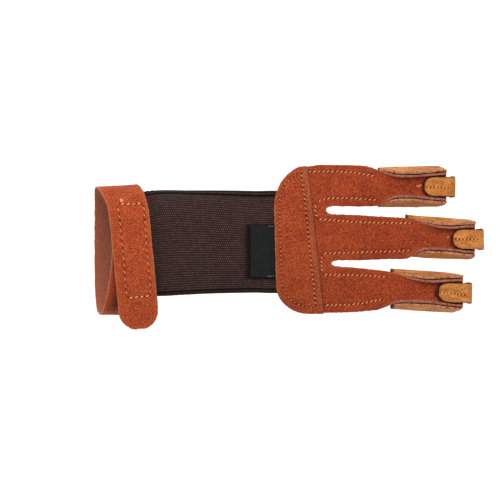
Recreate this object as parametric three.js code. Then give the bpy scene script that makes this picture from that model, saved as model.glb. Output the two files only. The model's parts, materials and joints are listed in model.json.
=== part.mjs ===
// Three-finger archery glove, a left one, in the form that it takes when it is worn.
// Millimetres. +X runs to the ends of the stalls, -Y to the index stall's side, +Z up off the glove's back.
// The origin is on the inner side of the glove, in the middle of the elastic's front end.

import * as THREE from 'three';

const { clamp, lerp, smoothstep } = THREE.MathUtils;

// Thickness of each material, and the clearance between neighbouring pieces
const SUEDE = 1.4;
const STALL_LEATHER = 1.4;
const STRAP_THICKNESS = 1.5;
const ELASTIC_THICKNESS = 1.3;
const LABEL_THICKNESS = 1.0;
const HOOK_THICKNESS = 1.0;
const GAP = 0.3;
const SEAM_GAP = 0.45;

// The form that the glove takes when it is worn
const WRIST_BACK = 82;
const WRIST_WIDTH = 66;
const WRIST_DEPTH = 42;
const WRIST_SIDESTEP = -4.5;
const WRIST_SQUARENESS = 3;
const WRIST_DROP = 5;
const WRIST_BLEND_START = 15.4;
const WRIST_BLEND = 56;
const HAND_CROWN_RADIUS = 110;
const KNUCKLE_AHEAD = 35;
const KNUCKLE_RISE = 2;
const FINGER_DROP = 7;
const FINGER_CURVE = 1.7;
const FINGER_PITCH = 28.3;
const RING_REACH = 98.6;
const MIDDLE_REACH = 114.2;
const INDEX_REACH = 107.8;

// Hand panel and its finger strips
const PANEL_HEEL = 0.9;
const STRIP_WIDTH = 22.8;
const STRIP_SAG = 2.2;
const STRIP_SHAPE_LENGTH = 22;
const RING_SLOT_START = 27;
const INDEX_SLOT_START = 30;
const SLOT_END_LENGTH = 4;
const PANEL_INSET = 2;

// Finger stalls: each a trough of leather with a tongue folded over its front end
const STALL_LENGTH = 38.5;
const STALL_WIDTH = 22.4;
const STALL_DEPTH = 15;
const TURN_UP_LENGTH = 13;
const LIP_HEIGHT = 3.4;
const CHANNEL_WIDTH = 9.8;
const CHANNEL_FLARE = 0.3;
const TONGUE_REACH = 4.9;
const TONGUE_LAP = 17.7;
const TONGUE_WIDTH = 10.7;

// Yoke: the D-shaped patch over the front end of the elastic
const YOKE_REAR = 1.1;
const YOKE_REAR_SLANT = 2.2;
const YOKE_CORNER_DEPTH = 15;
const YOKE_TOP_CORNER = 22;
const YOKE_BOTTOM_CORNER = 13.5;
const YOKE_TOP_FULLNESS = 1.5;
const YOKE_BOTTOM_FULLNESS = 1.7;
const YOKE_FRONT_TOP = 16.5;
const YOKE_FRONT_SLANT = 9.2;
const YOKE_STEP_FRONT = 1;
const YOKE_STEP_LENGTH = 4;
const YOKE_STEP_SIDE = 7;

// Elastic band and the label on it
const ELASTIC_WIDTH = 57;
const ELASTIC_HEEL = 4;
const ELASTIC_TUCK = 11;
const ELASTIC_RAMP = 12.5;
const LABEL_LENGTH = 13.7;
const LABEL_WIDTH = 28;
const LABEL_TUCK = 2.3;
const LABEL_SIDESTEP = -5.2;
const BULGE_FRONT = 1.5;
const BULGE_SIDE = 2.5;
const BULGE_SLOPE = 5;

// Wrist strap and the hook patch under its tab
const STRAP_WIDTH = 22;
const TAB_FREE_LENGTH = 21;
const HOOK_LENGTH = 42;
const HOOK_WIDTH = 15;

// Each finger: its reach, its middle at the knuckle and at the tip as shares of the finger pitch,
// its widths at the knuckle and at the stall as shares of the strip width, its stall as a share of the
// stall length, and its tongue as a share of the tongue lap
const FINGERS = [
  { name: 'ring', reach: RING_REACH, knuckle: 1.09, tip: 1.075, width: 1.0, neck: 0.98, stall: 0.985, lap: 1.0 },
  { name: 'middle', reach: MIDDLE_REACH, knuckle: 0.09, tip: 0.05, width: 1.11, neck: 1.0, stall: 1.0, lap: 1.0 },
  { name: 'index', reach: INDEX_REACH, knuckle: -0.905, tip: -1.0, width: 1.07, neck: 0.94, stall: 1.05, lap: 1.08 },
];
const SLOT_STARTS = [RING_SLOT_START, INDEX_SLOT_START];

// Where the edges of each strip turn up, on its +Y side and on its -Y side: lead is the share
// of the turn-up length that lies behind the stall, and length counts such lengths
const TURN_UPS = [
  { little: { lead: 0.7, length: 1.7 }, thumb: { lead: 0.15, length: 1.0 } },
  { little: { lead: 0.3, length: 2.4 }, thumb: { lead: 0.05, length: 0.95 } },
  { little: { lead: 0.4, length: 2.1 }, thumb: { lead: 0.6, length: 1.15 } },
];

// How far each flank stands out where the stall starts and where it ends, as shares of half the stall width
const FLANKS = [
  { little: { start: 0.95, end: 1.09 }, thumb: { start: 1.07, end: 1.0 } },
  { little: { start: 1.24, end: 0.97 }, thumb: { start: 0.92, end: 1.05 } },
  { little: { start: 1.15, end: 0.95 }, thumb: { start: 0.93, end: 1.03 } },
];

// The panel's two long edges, in line with the outer strips
const PANEL_TOP = FINGER_PITCH * FINGERS[0].knuckle + (STRIP_WIDTH / 2) * FINGERS[0].width;
const PANEL_BOTTOM = -FINGER_PITCH * FINGERS[2].knuckle + (STRIP_WIDTH / 2) * FINGERS[2].width + PANEL_HEEL;

// Section of a strip where it lies in its stall: at runs from the middle to the edge,
// out is a share of half the channel and up a share of the lip height
const CHANNEL = [
  { at: 0, out: 0, up: 0 },
  { at: 0.3, out: 0.5, up: 0 },
  { at: 0.55, out: 0.86, up: 0.04 },
  { at: 0.68, out: 0.97, up: 0.22 },
  { at: 0.84, out: 1, up: 0.6 },
  { at: 1, out: 1, up: 1 },
];

// Sides of a stall below its lip: shares of half the stall width and of its depth, first where
// its lip lies flat and then where it stands up, and the share that it takes of the stall's taper
const STALL_SIDE = [
  { startOut: 0.86, startDown: 0.3, out: 0.85, down: 0.06, taper: 0 },
  { startOut: 0.97, startDown: 0.47, out: 0.985, down: 0.27, taper: 0.7 },
  { startOut: 0.97, startDown: 0.67, out: 1, down: 0.52, taper: 1 },
  { startOut: 0.83, startDown: 0.86, out: 0.88, down: 0.78, taper: 1 },
];

// Bottom of a stall, as shares of half the tongue width and of the stall depth
const STALL_BOTTOM = [
  { out: 1, down: 0.955 },
  { out: 0.5, down: 0.99 },
  { out: 0, down: 1 },
  { out: -0.5, down: 0.99 },
  { out: -1, down: 0.955 },
];

// Stations along a stall, as shares of its length, with its width and depth there
const STALL_STATIONS = [
  { at: 0, wide: 1, deep: 0.96 },
  { at: 0.05, wide: 1, deep: 0.97 },
  { at: 0.09, wide: 1, deep: 0.975 },
  { at: 0.13, wide: 1, deep: 0.98 },
  { at: 0.17, wide: 1, deep: 0.99 },
  { at: 0.21, wide: 1, deep: 1 },
  { at: 0.25, wide: 1, deep: 1 },
  { at: 0.3, wide: 1, deep: 1 },
  { at: 0.38, wide: 1, deep: 1 },
  { at: 0.5, wide: 1, deep: 0.99 },
  { at: 0.66, wide: 1, deep: 0.97 },
  { at: 0.8, wide: 1, deep: 0.94 },
  { at: 0.91, wide: 0.985, deep: 0.91 },
  { at: 0.965, wide: 0.94, deep: 0.895 },
  { at: 1, wide: 0.86, deep: 0.88 },
];

// Side profile of a tongue round its stall's front end: shares of its reach, of its climb and of its width
const TONGUE_PROFILE = [
  { ahead: 0.5, climb: 0.02, wide: 1.08 },
  { ahead: 0.82, climb: 0.13, wide: 1.13 },
  { ahead: 0.98, climb: 0.34, wide: 1.1 },
  { ahead: 1, climb: 0.62, wide: 1.03 },
  { ahead: 0.98, climb: 0.84, wide: 1 },
  { ahead: 0.84, climb: 0.96, wide: 1 },
  { ahead: 0.5, climb: 1, wide: 1 },
];
const TONGUE_LAP_STATIONS = [0.35, 0.55, 0.7, 0.8, 0.88, 0.94, 0.98];

// Edges of the elastic along its length: shares of the way back to the strap and of half its width
const ELASTIC_EDGES = [
  { at: -1.06, little: 0.87, thumb: 1.0 },
  { at: -0.92, little: 0.9, thumb: 1.04 },
  { at: -0.78, little: 0.965, thumb: 1.045 },
  { at: -0.5, little: 1.0, thumb: 1.0 },
  { at: 0, little: 0.98, thumb: 0.975 },
  { at: 0.2, little: 0.98, thumb: 0.975 },
];

// Course of the strap: at counts turns from the top towards the -Y side,
// lean is its shift to the stalls as a share of its width, and layer counts the layers under it
const STRAP_COURSE = [
  { at: -0.12, lean: 0.02, layer: 1 },
  { at: 0, lean: 0.1, layer: 1 },
  { at: 0.1, lean: 0.02, layer: 1 },
  { at: 0.22, lean: -0.2, layer: 0.9 },
  { at: 0.36, lean: -0.37, layer: 0.2 },
  { at: 0.5, lean: -0.4, layer: 0 },
  { at: 0.66, lean: -0.39, layer: 0 },
  { at: 0.75, lean: -0.36, layer: 0.25 },
  { at: 0.81, lean: -0.26, layer: 1.4 },
  { at: 0.87, lean: -0.02, layer: 2 },
  { at: 1, lean: 0.12, layer: 2 },
  { at: 1.12, lean: 0.22, layer: 2 },
];

// Numbers of steps in the meshes
const STRAP_STEPS = 44;
const TAB_SHARES = [0.14, 0.32, 0.5, 0.62, 0.74, 0.84, 0.92, 0.975];
const RING_SAMPLES = 720;
const STRIP_ROWS = [-1, -0.84, -0.68, -0.55, -0.3, 0, 0.3, 0.55, 0.68, 0.84, 1];
const LIP_ROWS = STRIP_ROWS.slice(-2).reverse();

// Reads a column of a table at a place between its rows, along a smooth curve
function readTable(rows, at, column) {
  const last = rows.length - 1;
  const found = rows.findIndex((row) => row.at >= at);
  const i = clamp((found < 0 ? last : found) - 1, 0, last - 1);
  const slope = (j) => {
    const before = rows[Math.max(j - 1, 0)];
    const after = rows[Math.min(j + 1, last)];
    return (after[column] - before[column]) / (after.at - before.at);
  };
  const span = rows[i + 1].at - rows[i].at;
  const t = clamp((at - rows[i].at) / span, 0, 1);
  const ease = t * t * (3 - 2 * t);
  const bend = t * (1 - t) * span * ((1 - t) * slope(i) - t * slope(i + 1));
  return lerp(rows[i][column], rows[i + 1][column], ease) + bend;
}

// A sheet is a list of points and four-sided faces; points at one place are one point
function newSheet() {
  return { points: [], faces: [], byPlace: new Map() };
}

function pointIndex(sheet, point) {
  const key = point.toArray().map((value) => Math.round(value * 1e4)).join(' ');
  if (!sheet.byPlace.has(key)) {
    sheet.byPlace.set(key, sheet.points.length);
    sheet.points.push(point);
  }
  return sheet.byPlace.get(key);
}

// Adds a grid of points, given as columns of equal length, to a sheet
function addGrid(sheet, columns) {
  const indices = columns.map((column) => column.map((point) => pointIndex(sheet, point)));
  for (let i = 0; i + 1 < indices.length; i += 1) {
    for (let j = 0; j + 1 < indices[i].length; j += 1) {
      sheet.faces.push([indices[i][j], indices[i + 1][j], indices[i + 1][j + 1], indices[i][j + 1]]);
    }
  }
}

// Gives a sheet its thickness and closes it round its free edges
function thicken(sheet, thickness) {
  const { points, faces } = sheet;
  const normals = points.map(() => new THREE.Vector3());
  const triangles = faces.flatMap(([a, b, c, d]) => {
    const shortCut = points[a].distanceTo(points[c]) <= points[b].distanceTo(points[d]);
    return shortCut ? [[a, b, c], [a, c, d]] : [[a, b, d], [b, c, d]];
  });
  const edges = new Set();
  for (const [a, b, c] of triangles) {
    const side = points[b].clone().sub(points[a]);
    const normal = side.cross(points[c].clone().sub(points[a]));
    [a, b, c].forEach((i) => normals[i].add(normal));
  }
  for (const face of faces) {
    face.forEach((a, i) => edges.add(`${a} ${face[(i + 1) % face.length]}`));
  }
  const count = points.length;
  const positions = [];
  for (const side of [0.5, -0.5]) {
    points.forEach((point, i) => {
      const offset = normals[i].clone().normalize().multiplyScalar(side * thickness);
      positions.push(...point.clone().add(offset).toArray());
    });
  }
  const index = [];
  for (const [a, b, c] of triangles) {
    index.push(a, b, c);
    index.push(count + a, count + c, count + b);
  }
  for (const edge of edges) {
    const [a, b] = edge.split(' ').map(Number);
    if (!edges.has(`${b} ${a}`)) {
      index.push(count + a, count + b, b);
      index.push(count + a, b, a);
    }
  }
  const geometry = new THREE.BufferGeometry();
  geometry.setAttribute('position', new THREE.Float32BufferAttribute(positions, 3));
  geometry.setIndex(index);
  geometry.computeVertexNormals();
  return geometry;
}

// Height of the worn form's surface at the strap, under the panel, and between them
function wristHeight(y) {
  const share = clamp(Math.abs(y - WRIST_SIDESTEP) / (WRIST_WIDTH / 2), 0, 0.985);
  const arch = (1 - share ** WRIST_SQUARENESS) ** (1 / WRIST_SQUARENESS);
  return -WRIST_DROP - (WRIST_DEPTH / 2) * (1 - arch);
}

function handHeight(x, y) {
  const ahead = Math.max(x - KNUCKLE_AHEAD, 0) / (MIDDLE_REACH - KNUCKLE_AHEAD);
  const ridge = KNUCKLE_RISE * smoothstep(x, 0, KNUCKLE_AHEAD) - FINGER_DROP * ahead ** FINGER_CURVE;
  return ridge - (y * y) / (2 * HAND_CROWN_RADIUS);
}

function skinHeight(x, y) {
  const share = clamp((x + WRIST_BACK - WRIST_BLEND_START) / WRIST_BLEND, 0, 1);
  return lerp(wristHeight(y), handHeight(x, y), share);
}

// A point at some distance above that surface, square to it
function overSkin(x, y, distance) {
  const step = 0.5;
  const alongX = (skinHeight(x + step, y) - skinHeight(x - step, y)) / (2 * step);
  const alongY = (skinHeight(x, y + step) - skinHeight(x, y - step)) / (2 * step);
  const normal = new THREE.Vector3(-alongX, -alongY, 1).normalize();
  return new THREE.Vector3(x, y, skinHeight(x, y)).addScaledVector(normal, distance);
}

// Middle line and half width of a finger strip
function fingerMiddle(finger, x) {
  const share = (x - KNUCKLE_AHEAD) / (finger.reach - KNUCKLE_AHEAD);
  return FINGER_PITCH * lerp(finger.knuckle, finger.tip, share);
}

function stallEnd(finger) {
  return finger.reach - TONGUE_REACH;
}

function stallStart(finger) {
  return stallEnd(finger) - STALL_LENGTH * finger.stall;
}

function stripHalfWidth(finger, x) {
  const share = smoothstep(x, KNUCKLE_AHEAD, stallStart(finger));
  return (STRIP_WIDTH / 2) * lerp(finger.width, finger.neck, share);
}

// Edges of the hand panel and of the slots between its strips, from the +Y side down
function slotMiddle(slot, x) {
  const upper = FINGERS[slot];
  const lower = FINGERS[slot + 1];
  const upperEdge = fingerMiddle(upper, x) - stripHalfWidth(upper, x);
  const lowerEdge = fingerMiddle(lower, x) + stripHalfWidth(lower, x);
  return (upperEdge + lowerEdge) / 2;
}

function slotOpening(slot, x) {
  const share = clamp((x - SLOT_STARTS[slot]) / SLOT_END_LENGTH, 0, 1);
  return Math.sqrt(1 - (1 - share) ** 2);
}

function stripEdge(fingerNumber, side, x) {
  const finger = FINGERS[fingerNumber];
  const edge = fingerMiddle(finger, x) + side * stripHalfWidth(finger, x);
  const slot = side > 0 ? fingerNumber - 1 : fingerNumber;
  if (slot < 0) {
    return lerp(PANEL_TOP, edge, smoothstep(x, INDEX_SLOT_START, stallStart(finger)));
  }
  if (slot >= SLOT_STARTS.length) {
    return lerp(-PANEL_BOTTOM, edge, smoothstep(x, INDEX_SLOT_START, stallStart(finger)));
  }
  return lerp(slotMiddle(slot, x), edge, slotOpening(slot, x));
}

// Rear outline of the yoke, a slanted side with a full round corner at each end
function rearOutline(y) {
  const height = PANEL_TOP + PANEL_BOTTOM;
  const side = -YOKE_REAR + YOKE_REAR_SLANT * ((PANEL_TOP - y) / height - 0.5);
  const top = clamp((y - PANEL_TOP + YOKE_TOP_CORNER) / YOKE_TOP_CORNER, 0, 1);
  const bottom = clamp((-PANEL_BOTTOM + YOKE_BOTTOM_CORNER - y) / YOKE_BOTTOM_CORNER, 0, 1);
  const topCurve = 1 - (1 - top ** YOKE_TOP_FULLNESS) ** (1 / YOKE_TOP_FULLNESS);
  const bottomCurve = 1 - (1 - bottom ** YOKE_BOTTOM_FULLNESS) ** (1 / YOKE_BOTTOM_FULLNESS);
  return side + YOKE_CORNER_DEPTH * (topCurve + bottomCurve);
}

function frontOutline(y) {
  return YOKE_FRONT_TOP + YOKE_FRONT_SLANT * (PANEL_TOP - y) / (PANEL_TOP + PANEL_BOTTOM);
}

// Share of the way from a flat strip to one whose edge stands up in the stall, on one side or for its middle
function turnUp(fingerNumber, side, x) {
  const { little, thumb } = TURN_UPS[fingerNumber];
  const share = (edge) => {
    const start = stallStart(FINGERS[fingerNumber]) - edge.lead * TURN_UP_LENGTH;
    return smoothstep(x, start, start + edge.length * TURN_UP_LENGTH);
  };
  return lerp(share(thumb), share(little), (Math.sign(side) + 1) / 2);
}

function channelHalf(finger, x) {
  const share = (x - stallStart(finger)) / (stallEnd(finger) - stallStart(finger));
  const flare = 1 + CHANNEL_FLARE * smoothstep(share, 0.5, 0.95);
  return (CHANNEL_WIDTH / 2) * flare + SUEDE / 2;
}

// Middle surface of a strip of the hand panel: row runs from -1 at its -Y side to 1
function stripPoint(fingerNumber, x, row) {
  const finger = FINGERS[fingerNumber];
  const middle = fingerMiddle(finger, x);
  const lower = stripEdge(fingerNumber, -1, x);
  const upper = stripEdge(fingerNumber, 1, x);
  const flatSide = lerp(lower, upper, (row + 1) / 2);
  const slotStart = Math.max(...SLOT_STARTS);
  const round = smoothstep(x, slotStart, slotStart + STRIP_SHAPE_LENGTH);
  const turned = turnUp(fingerNumber, row, x);
  const onHand = overSkin(x, flatSide, SUEDE / 2);
  const overFinger = skinHeight(x, middle) + SUEDE / 2;
  const flatHeight = lerp(onHand.z, overFinger - STRIP_SAG * row * row, round);
  const out = readTable(CHANNEL, Math.abs(row), 'out') * channelHalf(finger, x);
  const up = readTable(CHANNEL, Math.abs(row), 'up') * LIP_HEIGHT;
  const side = lerp(lerp(onHand.y, flatSide, round), middle + Math.sign(row) * out, turned);
  return new THREE.Vector3(x, side, lerp(flatHeight, overFinger + up, turned));
}

// Hand panel: three strips that are one piece as far as the slots between them
function buildHandPanel() {
  const sheet = newSheet();
  const slotSteps = SLOT_STARTS.flatMap((start) => {
    return [0, 0.08, 0.3, 0.65, 1].map((share) => start + share * SLOT_END_LENGTH);
  });
  const jointSteps = [...new Set(slotSteps)].sort((a, b) => a - b);
  FINGERS.forEach((finger, number) => {
    const columns = [];
    const rearShares = [0, 0.12, 0.3, 0.55, 0.8];
    for (const share of rearShares) {
      columns.push(STRIP_ROWS.map((row) => {
        const atSlot = stripPoint(number, SLOT_STARTS[0], row);
        const rear = rearOutline(atSlot.y) + PANEL_INSET;
        const x = lerp(rear, SLOT_STARTS[0], share);
        return overSkin(x, atSlot.y, SUEDE / 2);
      }));
    }
    const start = stallStart(finger);
    const end = stallEnd(finger) - GAP;
    const bare = jointSteps[jointSteps.length - 1];
    const openSteps = [0.2, 0.4, 0.6, 0.75, 0.88].map((share) => lerp(bare, start, share));
    const stallSteps = STALL_STATIONS.map((station) => lerp(start, end, station.at));
    for (const x of [...jointSteps, ...openSteps, ...stallSteps]) {
      columns.push(STRIP_ROWS.map((row) => stripPoint(number, x, row)));
    }
    addGrid(sheet, columns);
  });
  return thicken(sheet, SUEDE);
}

// Lip of a stall: the outer side of the strip's edge, a seam's clearance away
function lipPoint(fingerNumber, x, row) {
  const step = 0.02;
  const edge = stripPoint(fingerNumber, x, row);
  const inner = stripPoint(fingerNumber, x, row - step * Math.sign(row));
  const along = edge.clone().sub(inner).multiplyScalar(Math.sign(row)).setX(0).normalize();
  const outward = new THREE.Vector3(0, along.z, -along.y);
  return edge.addScaledVector(outward, SUEDE / 2 + SEAM_GAP + STALL_LEATHER / 2);
}

// A section of a stall, from its lip on the -Y side round its bottom to the other lip
function stallSection(fingerNumber, station) {
  const finger = FINGERS[fingerNumber];
  const x = lerp(stallStart(finger), stallEnd(finger), station.at);
  const middle = fingerMiddle(finger, x);
  const top = skinHeight(x, middle) + SUEDE / 2;
  const half = (STALL_WIDTH - STALL_LEATHER) / 2;
  const depth = STALL_DEPTH * station.deep;
  const sidePoint = (row, side) => {
    const turned = turnUp(fingerNumber, side, x);
    const flank = side > 0 ? FLANKS[fingerNumber].little : FLANKS[fingerNumber].thumb;
    const reach = lerp(1, station.wide * lerp(flank.start, flank.end, station.at), Math.max(row.taper, 1 - turned));
    const out = lerp(row.startOut, row.out, turned) * half * reach;
    const down = lerp(row.startDown, row.down, turned) * depth;
    return new THREE.Vector3(x, middle + side * out, top - down);
  };
  const bottom = STALL_BOTTOM.map((row) => {
    const side = middle - row.out * TONGUE_WIDTH / 2;
    return new THREE.Vector3(x, side, top - row.down * depth);
  });
  const thumbSide = STALL_SIDE.map((row) => sidePoint(row, -1));
  const littleSide = STALL_SIDE.map((row) => sidePoint(row, 1)).reverse();
  const thumbLip = LIP_ROWS.map((row) => lipPoint(fingerNumber, x, -row));
  const littleLip = LIP_ROWS.map((row) => lipPoint(fingerNumber, x, row)).reverse();
  return [...thumbLip, ...thumbSide, ...bottom, ...littleSide, ...littleLip];
}

// Tongue of a stall: up round its front end and back over the strip to a round end
function tongueColumns(fingerNumber) {
  const finger = FINGERS[fingerNumber];
  const end = stallEnd(finger);
  const reach = TONGUE_REACH - STALL_LEATHER / 2;
  const lastStation = STALL_STATIONS[STALL_STATIONS.length - 1];
  const depth = STALL_DEPTH * lastStation.deep;
  const over = SUEDE / 2 + GAP + STALL_LEATHER / 2;
  const half = TONGUE_WIDTH / 2;
  const columns = [];
  const level = skinHeight(end, fingerMiddle(finger, end)) + SUEDE / 2;
  const base = STALL_BOTTOM.map((row) => {
    const side = fingerMiddle(finger, end) - row.out * half;
    return new THREE.Vector3(end, side, level - row.down * depth);
  });
  columns.push(base);
  for (const row of TONGUE_PROFILE) {
    columns.push(STALL_BOTTOM.map((place) => {
      const x = end + row.ahead * reach;
      const sag = (1 - place.down) * depth * (1 - row.climb);
      const z = level + lerp(-depth, over, row.climb) + sag;
      return new THREE.Vector3(x, fingerMiddle(finger, x) - place.out * half * row.wide, z);
    }));
  }
  for (const share of TONGUE_LAP_STATIONS) {
    const lap = TONGUE_LAP * finger.lap;
    const x = finger.reach - share * lap;
    const fromEnd = clamp((finger.reach - lap + half - x) / half, 0, 1);
    const width = half * Math.sqrt(1 - fromEnd ** 2);
    const z = skinHeight(x, fingerMiddle(finger, x)) + SUEDE / 2 + over;
    columns.push(STALL_BOTTOM.map((place) => {
      return new THREE.Vector3(x, fingerMiddle(finger, x) - place.out * width, z);
    }));
  }
  return columns;
}

function buildStall(fingerNumber) {
  const sheet = newSheet();
  addGrid(sheet, STALL_STATIONS.map((station) => stallSection(fingerNumber, station)).reverse());
  addGrid(sheet, tongueColumns(fingerNumber).reverse());
  return thicken(sheet, STALL_LEATHER);
}

// Distance of the middle of each layer from the worn form's surface
function elasticLayer(x) {
  return ELASTIC_THICKNESS / 2 + (SUEDE + GAP) * smoothstep(x, -ELASTIC_RAMP, -YOKE_REAR);
}

function labelBulge(x, y) {
  const half = LABEL_WIDTH / 2;
  const away = Math.abs(y - LABEL_SIDESTEP);
  const end = LABEL_TUCK - YOKE_REAR;
  const ahead = 1 - smoothstep(x, end + BULGE_FRONT, end + BULGE_FRONT + BULGE_SLOPE);
  const within = 1 - smoothstep(away, half + BULGE_SIDE, half + BULGE_SIDE + BULGE_SLOPE);
  return (LABEL_THICKNESS + GAP) * ahead * within;
}

function yokeLayer(x, y) {
  const half = ELASTIC_WIDTH / 2;
  const step = ELASTIC_TUCK + YOKE_STEP_FRONT;
  const overElastic = 1 - smoothstep(x, step, step + YOKE_STEP_LENGTH);
  const within = 1 - smoothstep(Math.abs(y), half + GAP, half + YOKE_STEP_SIDE);
  const plain = SUEDE + GAP + SUEDE / 2;
  return plain + (ELASTIC_THICKNESS + GAP) * overElastic * within + labelBulge(x, y);
}

// Yoke patch, in rows from the -Y side up
function buildYoke() {
  const sheet = newSheet();
  const steps = 22;
  const columnShares = [0, 0.12, 0.34, 0.66, 1, 1.3, 1.65, 2];
  const columns = columnShares.map((share) => {
    const column = [];
    for (let i = 0; i <= steps; i += 1) {
      const swing = Math.sin((i / steps - 0.5) * Math.PI);
      const spread = lerp(2 * i / steps - 1, swing, 0.75);
      const y = lerp(-PANEL_BOTTOM, PANEL_TOP, (spread + 1) / 2);
      const rear = rearOutline(y);
      const front = frontOutline(y);
      const knee = Math.max(ELASTIC_TUCK + YOKE_STEP_FRONT, lerp(rear, front, 0.45));
      const x = share < 1 ? lerp(rear, knee, share) : lerp(knee, front, share - 1);
      column.push(overSkin(x, y, yokeLayer(x, y)));
    }
    return column;
  });
  addGrid(sheet, columns);
  return thicken(sheet, SUEDE);
}

// Places along the stretch where the elastic climbs on to the hand panel
function rampPlaces() {
  return [0, 0.2, 0.4, 0.6, 0.8, 1].map((share) => lerp(-ELASTIC_RAMP, -YOKE_REAR, share));
}

// Elastic band from under the strap to under the yoke
function buildElastic() {
  const sheet = newSheet();
  const rear = -WRIST_BACK - ELASTIC_HEEL;
  const shares = [0, 0.12, 0.25, 0.38, 0.52, 0.66, 0.83];
  const rows = [-1, -0.85, -0.65, -0.42, -0.15, 0.15, 0.42, 0.65, 0.85, 1];
  const places = shares.map((share) => lerp(rear, -ELASTIC_RAMP, share));
  places.push(...rampPlaces(), LABEL_TUCK - YOKE_REAR, ELASTIC_TUCK / 2, ELASTIC_TUCK);
  const columns = places.map((x) => {
    return rows.map((row) => {
      const edge = readTable(ELASTIC_EDGES, x / WRIST_BACK, row > 0 ? 'little' : 'thumb');
      return overSkin(x, row * edge * ELASTIC_WIDTH / 2, elasticLayer(x));
    });
  });
  addGrid(sheet, columns);
  return thicken(sheet, ELASTIC_THICKNESS);
}

// Label on the elastic, tucked under the yoke's rear edge
function buildLabel() {
  const sheet = newSheet();
  const front = LABEL_TUCK - YOKE_REAR;
  const places = [-LABEL_LENGTH - YOKE_REAR, ...rampPlaces(), front];
  const columns = places.map((x) => {
    return [-0.5, -0.25, 0, 0.25, 0.5].map((across) => {
      const y = LABEL_SIDESTEP + across * LABEL_WIDTH;
      const layer = elasticLayer(x) + ELASTIC_THICKNESS / 2 + GAP + LABEL_THICKNESS / 2;
      return overSkin(x, y, layer);
    });
  });
  addGrid(sheet, columns);
  return thicken(sheet, LABEL_THICKNESS);
}

// Inner outline of the wrist loop, from its top towards the -Y side, with its length so far
function wristRing() {
  const power = 2 / WRIST_SQUARENESS;
  const points = [];
  for (let i = 0; i <= RING_SAMPLES; i += 1) {
    const angle = Math.PI / 2 + (2 * Math.PI * i) / RING_SAMPLES;
    const c = Math.cos(angle);
    const s = Math.sin(angle);
    const y = WRIST_SIDESTEP + Math.sign(c) * Math.abs(c) ** power * WRIST_WIDTH / 2;
    const z = -WRIST_DROP - WRIST_DEPTH / 2 + Math.sign(s) * Math.abs(s) ** power * WRIST_DEPTH / 2;
    points.push(new THREE.Vector2(y, z));
  }
  const lengths = [0];
  for (let i = 1; i < points.length; i += 1) {
    lengths.push(lengths[i - 1] + points[i].distanceTo(points[i - 1]));
  }
  return { points, lengths, total: lengths[lengths.length - 1] };
}

const RING = wristRing();

function ringPlace(turn) {
  const length = (turn - Math.floor(turn)) * RING.total;
  const i = Math.max(RING.lengths.findIndex((value) => value > length), 1);
  const share = (length - RING.lengths[i - 1]) / (RING.lengths[i] - RING.lengths[i - 1]);
  return RING.points[i - 1].clone().lerp(RING.points[i], share);
}

// Middle of the strap at some turn, at some distance above its own course
function strapPlace(turn, extra) {
  const step = 0.012;
  const here = ringPlace(turn);
  const along = ringPlace(turn + step).sub(ringPlace(turn - step)).normalize();
  const outward = new THREE.Vector2(along.y, -along.x);
  const lowerLayer = ELASTIC_THICKNESS + GAP;
  const upperLayer = STRAP_THICKNESS + HOOK_THICKNESS + 2 * GAP;
  const layers = readTable(STRAP_COURSE, turn, 'layer');
  const climb = lowerLayer * Math.min(layers, 1) + upperLayer * Math.max(layers - 1, 0);
  here.addScaledVector(outward, GAP + STRAP_THICKNESS / 2 + climb + extra);
  const x = -WRIST_BACK + readTable(STRAP_COURSE, turn, 'lean') * STRAP_WIDTH;
  const point = new THREE.Vector3(x, here.x, here.y);
  return { point, outward: new THREE.Vector3(0, outward.x, outward.y) };
}

// Columns across a band that follows the strap's course
function bandColumns(places, halfWidths, shares) {
  return places.map((place, i) => {
    const before = places[Math.max(i - 1, 0)].point;
    const after = places[Math.min(i + 1, places.length - 1)].point;
    const across = place.outward.clone().cross(after.clone().sub(before)).normalize();
    return shares.map((share) => place.point.clone().addScaledVector(across, share * halfWidths[i]));
  });
}

// Wrist strap: once round from under its own tab, and out past the -Y side
function buildStrap() {
  const first = STRAP_COURSE[0].at;
  const last = STRAP_COURSE[STRAP_COURSE.length - 1].at;
  const places = [];
  for (let i = 0; i <= STRAP_STEPS; i += 1) {
    places.push(strapPlace(lerp(first, last, i / STRAP_STEPS), 0));
  }
  const end = places[places.length - 1];
  const heading = end.point.clone().sub(places[places.length - 2].point).normalize();
  for (const share of TAB_SHARES) {
    const point = end.point.clone().addScaledVector(heading, share * TAB_FREE_LENGTH);
    places.push({ point, outward: end.outward });
  }
  const half = STRAP_WIDTH / 2;
  const halfWidths = places.map((place, i) => {
    const share = i > STRAP_STEPS ? TAB_SHARES[i - STRAP_STEPS - 1] : 0;
    const intoEnd = clamp((share * TAB_FREE_LENGTH - TAB_FREE_LENGTH + half) / half, 0, 1);
    return half * Math.sqrt(1 - intoEnd ** 2);
  });
  const sheet = newSheet();
  addGrid(sheet, bandColumns(places, halfWidths, [-1, -0.5, 0, 0.5, 1]));
  return thicken(sheet, STRAP_THICKNESS);
}

// Hook patch on the inner side of the tab
function buildHookPatch() {
  const last = STRAP_COURSE[STRAP_COURSE.length - 1].at;
  const steps = 8;
  const under = -(STRAP_THICKNESS + HOOK_THICKNESS) / 2 - GAP;
  const places = [];
  for (let i = 0; i <= steps; i += 1) {
    places.push(strapPlace(last - (HOOK_LENGTH / RING.total) * (1 - i / steps), under));
  }
  const sheet = newSheet();
  const halfWidths = places.map(() => HOOK_WIDTH / 2);
  addGrid(sheet, bandColumns(places, halfWidths, [-1, 0, 1]));
  return thicken(sheet, HOOK_THICKNESS);
}

// Materials
function finish(color, roughness) {
  return new THREE.MeshStandardMaterial({ color, roughness, metalness: 0 });
}

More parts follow.
